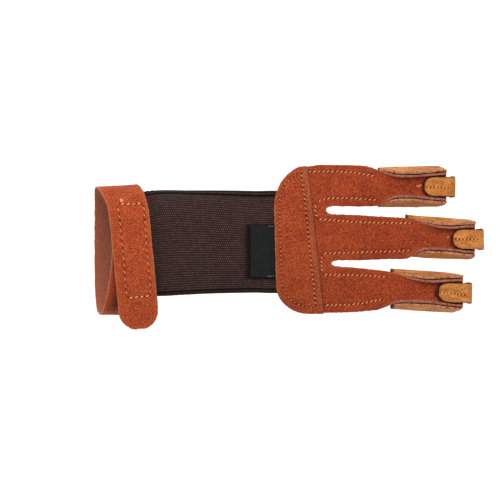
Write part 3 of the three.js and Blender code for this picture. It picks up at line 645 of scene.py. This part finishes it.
def sink_seams(piece, rows, pitch, depth=0.3, pillow=0.16, lowest=-1.0):
    """Pulls the leather down along its rows of stitches, most at the needle holes. It swells beside them."""
    points, normals = points_of(piece), normals_of(piece)
    distances, along = seam_distances(piece, rows)
    facing = step_between(0.1, 0.5, normals[:, 2]) * (points[:, 2] > lowest)
    pull = hump(distances, 0, SEAM_WIDTH) * (0.75 + 0.25 * np.cos(2 * math.pi * along / pitch))
    swell = hump(distances, SWELL_PLACE, SWELL_WIDTH)
    points += normals * (facing * (swell * pillow - pull * depth) * MM)[:, None]
    move_points(piece, points)
    mark(piece, "from_seam", np.where(facing > 0.3, np.minimum(distances, FAR_AWAY), FAR_AWAY))


def fray_and_dent(piece, seed, dent=0.08, fray=0.1):
    """Small dents all over, and a rough line along the cut edges."""
    points, normals = points_of(piece), normals_of(piece)
    places = points / MM
    rough = ripple(places, 1.9, seed + 1) * fray * step_between(1.3, 0.2, marks_of(piece, "from_edge"))
    points += normals * ((ripple(places, 11, seed) * dent + rough) * MM)[:, None]
    move_points(piece, points)


def mark_underside(piece):
    mark(piece, "flesh_side", step_between(0.0, -0.4, normals_of(piece)[:, 2]))


def facing_inwards(piece, node, lift):
    """How squarely each point faces its node's middle, lifted by some millimetres, seen along the glove."""
    lowest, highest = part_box(node)
    middle = np.array((lowest + highest) / 2)
    middle[2] += lift * MM
    towards = middle[None, 1:] - points_of(piece)[:, 1:]
    towards /= np.linalg.norm(towards, axis=1)[:, None]
    return (towards * normals_of(piece)[:, 1:]).sum(1)


def dress(piece, finish, node):
    piece.data.materials.clear()
    piece.data.materials.append(finish)
    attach(piece, "root")
    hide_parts(node)


def make_hand_panel():
    panel = cut_from_frame("hand_panel", "suede_hand_panel")
    points = points_of(panel)
    places = points / MM
    loose = step_between(27, 34, places[:, 0]) * step_between(66, 56, places[:, 0])
    points[:, 2] += ripple(places[:, :2], STRIP_WAVELENGTH, 3) * STRIP_WAVE * loose * MM
    move_points(panel, points)
    trim_corner(panel)
    sink_seams(panel, PANEL_ROWS.values(), PANEL_PITCH)
    mark_underside(panel)
    fray_and_dent(panel, 11)
    darken_channels(panel)
    dress(panel, PANEL_SUEDE, "hand_panel")
    return panel


def darken_channels(panel):
    """Painted shade round each tongue's start and on the wall of its channel that faces away from the key
    light, and painted light on the wall that faces it.
    """
    places = points_of(panel) / MM
    upright = step_between(-0.1, 0.1, normals_of(panel)[:, 2])
    under, lit = np.zeros(len(places)), np.zeros(len(places))
    for row in TONGUE_ROWS.values():
        start, end = np.array(row[0]) + (TONGUE_HALF - 2.2, 0), np.array(row[-1])
        share = np.clip(((places[:, :2] - start) @ (end - start)) / ((end - start) @ (end - start)), 0, 1)
        away = np.linalg.norm(places[:, :2] - start - share[:, None] * (end - start), axis=1) - TONGUE_HALF
        under = np.maximum(under, step_between(2.0, 0.3, away + ripple(places[:, :2], 5, 23) * 0.2))
        channel = step_between(row[0][0] - 22, row[0][0] - 8, places[:, 0]) * upright
        slope = (end[1] - row[0][1]) / (end[0] - row[0][0])
        aside = places[:, 1] - row[0][1] - (places[:, 0] - row[0][0]) * slope
        under = np.maximum(under, channel * step_between(0.5, 6.5, aside) * (aside < CHANNEL_HALF) * 0.55)
        lit = np.maximum(lit, channel * step_between(-3, -6.5, aside) * (aside > -CHANNEL_HALF) * 0.7)
    mark(panel, "shade", under)
    mark(panel, "painted_wall_light", lit)


def trim_corner(piece):
    """The yoke and the panel are cut a little closer at the upper rear corner."""
    points = points_of(piece)
    places = points / MM
    points[:, 1] -= step_between(32, 43, places[:, 1]) * step_between(25, 13, places[:, 0]) * CORNER_CUT * MM
    move_points(piece, points)


def skive_front(yoke):
    """The yoke's front edge is pared to a slope, so its raw fibres face up in a band along it."""
    points = points_of(yoke)
    places = points / MM
    (upper_x, upper_y), (lower_x, lower_y) = YOKE_FRONT_EDGE
    front = upper_x + (lower_x - upper_x) * ((upper_y - places[:, 1]) / (upper_y - lower_y))
    behind = front - places[:, 0] + ripple(places[:, 1:2], 7, 19) * 0.12
    facing = step_between(0.3, 0.7, normals_of(yoke)[:, 2])
    points[:, 2] -= facing * step_between(SKIVE_WIDTH + 0.3, 0.2, behind) * SKIVE_DEPTH * MM
    move_points(yoke, points)
    mark(yoke, "pared", facing * step_between(SKIVE_WIDTH + 0.2, SKIVE_WIDTH - 0.2, behind))
    # Painted shadow line: the seam darkening is set to its darkest along the yoke's front wall
    mark(yoke, "from_seam", np.where((behind < 0.3) & (behind > -1), 0.0, marks_of(yoke, "from_seam")))


def make_yoke():
    yoke = cut_from_frame("yoke_patch", "suede_yoke")
    trim_corner(yoke)
    sink_seams(yoke, [YOKE_REAR_ROW, YOKE_FRONT_ROW], YOKE_PITCH, depth=0.34, pillow=0.2)
    mark_underside(yoke)
    skive_front(yoke)
    fray_and_dent(yoke, 21, dent=0.06)
    dress(yoke, YOKE_SUEDE, "yoke_patch")
    return yoke


def darken_under_tab(strap):
    """Painted shade on the lower layer where the tab over it keeps the light away."""
    cover = surface_of(strap)
    ways = [Vector(way).normalized() for way in ((0.4, 0.1, 1), (0.8, 0.1, 1), (1.4, 0.2, 1), (2.4, 0.2, 1))]
    shade = np.zeros(len(strap.data.vertices))
    for i, vertex in enumerate(strap.data.vertices):
        start = vertex.co + vertex.normal * 0.4 * MM
        if vertex.normal.z > 0:
            shade[i] = sum(cover.ray_cast(start, way, TAB_REACH * MM)[0] is not None for way in ways)
    mark(strap, "shade", shade / len(ways) * 0.85)


def make_strap():
    strap = cut_from_frame("wrist_strap", "suede_wrist_strap")
    sink_seams(strap, TAB_ROWS.values(), TAB_PITCH, depth=0.26, pillow=0.12, lowest=-14 * MM)
    mark(strap, "flesh_side", step_between(0.1, 0.5, facing_inwards(strap, "wrist_strap", -2)))
    fray_and_dent(strap, 31, dent=0.06)
    darken_under_tab(strap)
    dress(strap, STRAP_SUEDE, "wrist_strap")
    return strap


def mark_creases(stall, seed):
    """A soft ridge along each flank, where the stall has been pinched flat, with a fold under it. The ridge is
    marked for a painted highlight, the fold for painted shade.
    """
    points, normals = points_of(stall), normals_of(stall)
    places = points / MM
    flank = step_between(0.3, 0.5, np.abs(normals[:, 1])) * step_between(0.95, 0.85, np.abs(normals[:, 0]))
    middle = (places[:, 1].max() + places[:, 1].min()) / 2
    outer = np.abs(places[:, 1] - middle) > 6.2
    slice_length = 1.5
    slices = np.arange(places[:, 0].min(), places[:, 0].max(), slice_length)
    creases, folds = np.zeros(len(places)), np.zeros(len(places))
    for side in (-1, 1):
        here = outer & ((places[:, 1] - middle) * side > 0)
        tops = [places[here & (np.abs(places[:, 0] - x) < slice_length), 2].max(initial=-30) for x in slices]
        lip = np.interp(places[:, 0], slices, np.minimum.accumulate(tops))
        above = places[:, 2] - (lip - CREASE_DROP + ripple(places[:, :1], 21, seed + side) * 0.5)
        along = step_between(3, 9, places[:, 0] - slices[0]) * here * flank
        ridge = along * hump(above, 0, 0.5)
        fold_with_painted_shade = along * hump(above, -FOLD_DROP, 0.4)
        points += normals * ((ridge * CREASE_HEIGHT - fold_with_painted_shade * FOLD_DEPTH) * MM)[:, None]
        creases += ridge
        folds += fold_with_painted_shade
    move_points(stall, points)
    mark(stall, "on_flank", step_between(5.6, 6.4, np.abs(places[:, 1] - middle)))
    mark(stall, "crease_with_painted_highlight", creases)
    mark(stall, "fold_with_painted_shade", folds)


def cut_corners(stall, cuts):
    """The flanks' lower front corners are cut off, as the top view shows."""
    points = points_of(stall)
    places = points / MM
    lowest, highest = places[:, 1].min(), places[:, 1].max()
    for outer, cut in zip((highest - places[:, 1], places[:, 1] - lowest), cuts):
        end = places[outer < 2.5, 0].max()
        reach = cut + 2.5
        behind = np.clip((places[:, 0] - (end - reach)) / reach, 0, 1)
        near = step_between(3.2, 0.0, outer) * step_between(end + 0.6, end, places[:, 0])
        points[:, 0] -= behind * near * cut * MM
    move_points(stall, points)


def make_stall(finger, seed):
    node = "finger_stall_" + finger
    stall = cut_from_frame(node, "leather_stall_" + finger)
    cut_corners(stall, FRONT_CORNERS[finger])
    lowest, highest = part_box(node)
    points = points_of(stall)
    from_front, from_rear = (highest.x - points[:, 0]) / MM, (points[:, 0] - lowest.x) / MM
    ahead = step_between(6, 1, from_front) * step_between(-0.3, -0.7, normals_of(stall)[:, 0])
    mark(stall, "flesh_side", np.maximum(step_between(0.25, 0.55, facing_inwards(stall, node, 1)), ahead))
    mark_creases(stall, seed)
    rear_end = CUT_ENDS[finger]
    ragged = from_rear + ripple(points[:, 1:] / MM, 3, seed) * 0.3
    mark(stall, "cut_end", step_between(rear_end + 0.5, rear_end - 0.5, ragged))
    sink_seams(stall, [TONGUE_ROWS[finger]], TONGUE_PITCH, depth=0.28, pillow=0.1, lowest=-4 * MM)
    fray_and_dent(stall, seed, dent=0.09, fray=0.12)
    dress(stall, STALL_LEATHER, node)
    return stall


def make_hook_patch():
    patch = cut_from_frame("hook_patch", "hook_patch_tape", rounding=0.2, levels=1)
    dress(patch, HOOK_TAPE, "hook_patch")


# The woven pieces

def cloth_grid(name, node, counts, end_gap, inset):
    """A grid laid on the top of a node, in even steps across, with the node's own outline. Gives the piece,
    and each point's shares along and across, its place, its normal and the width there in millimetres."""
    ground_piece = cut_from_frame(node, "ground", rounding=0.25, levels=2)
    ground = surface_of(ground_piece)
    outline = points_of(ground_piece)
    lowest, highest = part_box(node)
    near, far = lowest.x + end_gap * MM, highest.x - end_gap * MM
    columns, rows = counts
    bpy.ops.mesh.primitive_grid_add(x_subdivisions=columns, y_subdivisions=rows, size=1, location=(0, 0, 0))
    cloth = named(name)
    cloth.data.uv_layers[0].name = "cloth"
    shares = points_of(cloth)[:, :2] + 0.5
    places, normals, widths = np.zeros((len(shares), 3)), np.zeros((len(shares), 3)), np.zeros(len(shares))
    for share in np.unique(np.round(shares[:, 0], 5)):
        x = near + (far - near) * share
        close = outline[np.abs(outline[:, 0] - x) < 1.6 * MM]
        across = np.linspace(close[:, 1].min() + inset * MM, close[:, 1].max() - inset * MM, 90)
        hits = [drop(ground, x, y) for y in across]
        line = np.array([place if place else (x, y, np.nan) for (place, _), y in zip(hits, across)], float)
        found = ~np.isnan(line[:, 2])
        line[:, 2] = np.interp(across, across[found], line[found, 2])
        lengths = lengths_along(line)
        here = np.abs(shares[:, 0] - share) < 1e-4
        at = shares[here, 1] * lengths[-1]
        places[here] = np.stack([np.interp(at, lengths, line[:, i]) for i in range(3)], 1)
        lean = np.interp(at, lengths, np.gradient(line[:, 2], line[:, 1]))
        up = np.stack([np.zeros(len(lean)), -lean, np.ones(len(lean))], 1)
        normals[here] = up / np.linalg.norm(up, axis=1)[:, None]
        widths[here] = lengths[-1] / MM
    bpy.data.objects.remove(ground_piece)
    return cloth, shares, places, normals, widths


def paint_contact_shade(cloth, places):
    """Painted shade on the elastic beside the label and under the edge of the strap."""
    label_low, label_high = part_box("label")
    behind = (label_low.x - places[:, 0]) / MM
    beside = np.maximum(label_low.y - places[:, 1], places[:, 1] - label_high.y) / MM
    near_label = np.where(behind > -1, step_between(4.5, 0.3, behind), 1) * step_between(1.6, -0.6, beside)
    near_strap = step_between(16, 5, (places[:, 0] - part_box("elastic_band")[0].x) / MM) * 0.8
    mark(cloth, "painted_contact_shade", np.maximum(near_label * (places[:, 0] < label_high.x), near_strap))


def make_elastic():
    cloth, shares, places, normals, widths = cloth_grid("woven_elastic", "elastic_band", (76, 250), 0.8, 0.15)
    slack = step_between(-48, -74, places[:, 0] / MM) * step_between(0.5, 1.0, shares[:, 1])
    places += np.array(SLACK_LIFT) * (slack * MM)[:, None]
    side = np.minimum(shares[:, 1], (1 - shares[:, 1]) * 0.72) * widths
    ribbed = step_between(SELVEDGE_GROOVE, SELVEDGE_GROOVE + 0.8, side)
    ribs = (np.abs(np.sin(math.pi * shares[:, 1] * ELASTIC_RIBS)) - 0.6) * RIB_HEIGHT * ribbed
    selvedge = np.where(side < SELVEDGE, np.sin(math.pi * side / SELVEDGE) * SELVEDGE_HEIGHT - 0.04, 0)
    groove = hump(side, SELVEDGE_GROOVE, 0.45) + 0.7 * hump(side, SELVEDGE / 2, 0.22)
    height = ribs + selvedge - groove * GROOVE_DEPTH - 0.14
    move_points(cloth, places + normals * (height * MM)[:, None])
    # The grooves are marked for painted shade
    mark(cloth, "groove", np.clip(groove * 1.7, 0, 1))
    paint_contact_shade(cloth, places)
    cloth.data.shade_smooth()
    finish_with(cloth, "SOLIDIFY", thickness=ELASTIC_CLOTH * MM, offset=-1)
    # The painted shade is kept on the top face only
    mark(cloth, "painted_contact_shade", marks_of(cloth, "painted_contact_shade") * (normals_of(cloth)[:, 2] > 0))
    dress(cloth, BROWN_ELASTIC, "elastic_band")
    return cloth


def make_label():
    cloth, shares, places, normals, widths = cloth_grid("bare_woven_label", "label", (44, 70), 0.5, 0.1)
    rim = np.minimum(np.minimum(shares[:, 1], 1 - shares[:, 1]) * widths, shares[:, 0] * 16)
    soft = step_between(0, 0.5, rim) * 0.22 - step_between(0.9, 1.5, rim) * 0.1
    soft += ripple(places[:, :2] / MM, 9, 77) * 0.07
    move_points(cloth, places + normals * ((soft - 0.2) * MM)[:, None])
    cloth.data.shade_smooth()
    finish_with(cloth, "SOLIDIFY", thickness=LABEL_CLOTH * MM, offset=-1)
    dress(cloth, BLACK_LABEL, "label")
    return cloth


# Thread and needle holes

def model_stitch():
    """One stitch, one unit long and two thick, that dives into the leather at both ends."""
    pick_nothing()
    bpy.ops.mesh.primitive_cylinder_add(vertices=8, radius=1, depth=0.46, location=(0, 0, 0),
                                        rotation=(0, math.pi / 2, 0))
    stitch = named("stitch_to_copy")
    bpy.ops.object.transform_apply(location=True, rotation=True, scale=True)
    for side in (-1, 1):
        for ahead, down, size in ((0.15, -0.35, 0.8), (0.12, -0.65, 0.55)):
            pick_faces(stitch, lambda middle, normal: normal.x * side > 0.6 and middle.x * side > 0.2)
            bpy.ops.mesh.extrude_region_move(TRANSFORM_OT_translate={"value": (ahead * side, 0, down)})
            bpy.ops.transform.resize(value=(1, size, size))
            bpy.ops.object.mode_set(mode="OBJECT")
    stitch.data.shade_smooth()
    return stitch


def model_hole():
    """The needle hole: a flat dark bead set into the leather, painted shade where the hole lies in shadow."""
    pick_nothing()
    bpy.ops.mesh.primitive_uv_sphere_add(segments=8, ring_count=4, radius=1, location=(0, 0, 0))
    hole = named("hole_to_copy")
    bpy.ops.object.mode_set(mode="EDIT")
    bpy.ops.mesh.select_all(action="SELECT")
    bpy.ops.transform.resize(value=(1, 1, 0.3))
    bpy.ops.object.mode_set(mode="OBJECT")
    hole.data.shade_smooth()
    return hole


def copy_at(master, place, forward, normal, size):
    up = Vector(normal).normalized()
    ahead = (Vector(forward) - up * Vector(forward).dot(up)).normalized()
    turn = Matrix((ahead, up.cross(ahead), up)).transposed().to_4x4()
    made = master.copy()
    made.data = master.data.copy()
    made.data.transform(Matrix.Translation(place) @ turn @ Matrix.Diagonal((*size, 1)))
    bpy.context.scene.collection.objects.link(made)
    return made


def join_as(name, copies, finish):
    pick_nothing()
    for made in copies:
        made.select_set(True)
    bpy.context.view_layer.objects.active = copies[0]
    bpy.ops.object.join()
    joined = named(name)
    joined.data.materials.clear()
    joined.data.materials.append(finish)
    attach(joined, "root")


def way_along(surface, middle, forward, below):
    """The direction of a stitch on the surface, from a little before its middle to a little after."""
    here, there = [drop(surface, *(middle + forward * share), below)[0] for share in (-0.3, 0.3)]
    return there - here if here and there else Vector((forward[0], forward[1], 0))


def sew(name, surface, rows, pitch, thick, share, slant, hole, seed, below=False, thread=THREAD):
    """Stitches and needle holes along rows of the plan, set on a finished surface. Sizes in millimetres."""
    draw = np.random.default_rng(seed)
    stitches, holes = [], []
    for row in rows:
        line = even_line(row, pitch) * MM
        for start, end in zip(line, line[1:]):
            middle, forward = (start + end) / 2, end - start
            place, normal = drop(surface, *middle, below)
            if place is None:
                continue
            turn = slant + draw.normal() * 0.07
            ahead = Matrix.Rotation(turn, 3, "Z") @ way_along(surface, middle, forward, below)
            length = pitch * share * draw.uniform(0.86, 1.1) * MM
            thickness = thick * draw.uniform(0.88, 1.12) * MM
            stitches.append(copy_at(stitch_master, place + normal * thickness * 0.35, ahead, normal,
                                    (length, thickness, thickness)))
        for x, y in line:
            place, normal = drop(surface, x, y, below)
            if place is not None and hole:
                size = hole * draw.uniform(0.8, 1.15) * MM
                holes.append(copy_at(hole_master, place + normal * 0.02 * MM, (1, 0, 0), normal, (size,) * 3))
    join_as(name + "_stitches", stitches, thread)
    if holes:
        join_as(name + "_needle_holes", holes, NEEDLE_HOLE)


def tie_knot(surface):
    """The knot that ends the tab's thread: a round turn with the thread pulled through it."""
    place, normal = drop(surface, TAB_KNOT[0] * MM, TAB_KNOT[1] * MM)
    turns = []
    for size, lift, lean in ((0.62, 0.3, (0.4, 0.1, 1)), (0.5, 0.62, (-0.3, 0.25, 1))):
        pick_nothing()
        bpy.ops.mesh.primitive_torus_add(major_segments=20, minor_segments=8, major_radius=size,
                                         minor_radius=0.34, location=(0, 0, 0))
        turn = named("turn_to_copy")
        turn.data.shade_smooth()
        turns.append(copy_at(turn, place + normal * lift * MM, (1, 0.3, 0), lean, (MM, MM * 1.12, MM * 0.9)))
        bpy.data.objects.remove(turn)
    turns.append(copy_at(stitch_master, place + normal * 0.55 * MM, (0.4, -1, 0), normal,
                         (1.5 * MM, 0.34 * MM, 0.34 * MM)))
    join_as("tab_knot", turns, THREAD)


panel, yoke, strap = make_hand_panel(), make_yoke(), make_strap()
stalls = {finger: make_stall(finger, seed) for finger, seed in (("ring", 41), ("middle", 51), ("index", 61))}
make_hook_patch()
elastic, label = make_elastic(), make_label()

stitch_master, hole_master = model_stitch(), model_hole()
panel_surface, yoke_surface, strap_surface = surface_of(panel), surface_of(yoke), surface_of(strap)
sew("panel", panel_surface, PANEL_ROWS.values(), PANEL_PITCH, thick=0.27, share=0.92, slant=0.66, hole=0.27,
    seed=2)
sew("yoke_rear", yoke_surface, [YOKE_REAR_ROW], YOKE_PITCH * 0.92, thick=0.2, share=0.42, slant=0.35,
    hole=0.25, seed=3)
sew("yoke_front", yoke_surface, [YOKE_FRONT_ROW], YOKE_PITCH, thick=0.24, share=0.6, slant=0.7, hole=0.42,
    seed=4)
sew("tab_sides", strap_surface, [TAB_ROWS["front"], TAB_ROWS["rear"]], TAB_PITCH, thick=0.22, share=0.6,
    slant=0.34, hole=0.3, seed=5)
sew("tab_ends", strap_surface, [TAB_ROWS["top"], TAB_ROWS["bottom"]], TAB_PITCH * 0.9, thick=0.44, share=0.72,
    slant=0.26, hole=0.4, seed=6)
for finger, row in TONGUE_ROWS.items():
    sew("tongue_" + finger, surface_of(stalls[finger]), [row], TONGUE_PITCH, thick=0.3, share=0.8, slant=0.8,
        hole=0.44, seed=7, thread=TONGUE_THREAD)
sew("tongue_starts", panel_surface, TONGUE_STARTS, 3, thick=0.34, share=0.85, slant=0.0, hole=0.3, seed=8)
sew("label_tacks", surface_of(label), LABEL_TACKS, 0.95, thick=0.13, share=0.7, slant=0.0, hole=0, seed=9,
    thread=LABEL_THREAD)
underside = surface_of(panel, elastic)
sew("panel_underside", underside, PANEL_ROWS.values(), PANEL_PITCH, thick=0.34, share=0.74, slant=0.2,
    hole=0.3, seed=12, below=True)
sew("yoke_underside", underside, [YOKE_REAR_ROW, YOKE_FRONT_ROW], YOKE_PITCH, thick=0.3, share=0.7, slant=0.2,
    hole=0.3, seed=13, below=True)
tie_knot(strap_surface)
for master in (stitch_master, hole_master):
    bpy.data.objects.remove(master)


# Floor, lights and camera

pick_nothing()
bpy.ops.mesh.primitive_plane_add(size=6, location=(0, 0, FLOOR_HEIGHT))
floor = named("floor")
floor.data.materials.append(floor_finish())


def area_light(name, place, size, power):
    """A soft light that faces the glove's middle."""
    pick_nothing()
    bpy.ops.object.light_add(type="AREA", location=place)
    light = bpy.context.object
    light.name = name
    light.data.size = size
    light.data.energy = power
    light.rotation_euler = (-Vector(place)).to_track_quat("-Z", "Y").to_euler()


area_light("key_from_the_top", (-0.05, 0.7, 0.95), 0.6, KEY_POWER)
area_light("fill_from_the_left", (-0.8, -0.15, 0.7), 0.9, FILL_POWER)

world = bpy.data.worlds.new("studio")
bpy.context.scene.world = world
world.use_nodes = True
background = next(node for node in world.node_tree.nodes if node.type == "BACKGROUND")
background.inputs["Color"].default_value = (1, 1, 1, 1)
background.inputs["Strength"].default_value = SKY_STRENGTH
bpy.context.scene.view_settings.view_transform = "Standard"

pick_nothing()
bpy.ops.object.camera_add(location=(*VIEW_MIDDLE, VIEW_WIDTH * LENS / SENSOR), rotation=(0, 0, 0))
camera = bpy.context.object
camera.data.lens, camera.data.sensor_width = LENS, SENSOR
camera.data.clip_start, camera.data.clip_end = 0.01, 10
bpy.context.scene.camera = camera
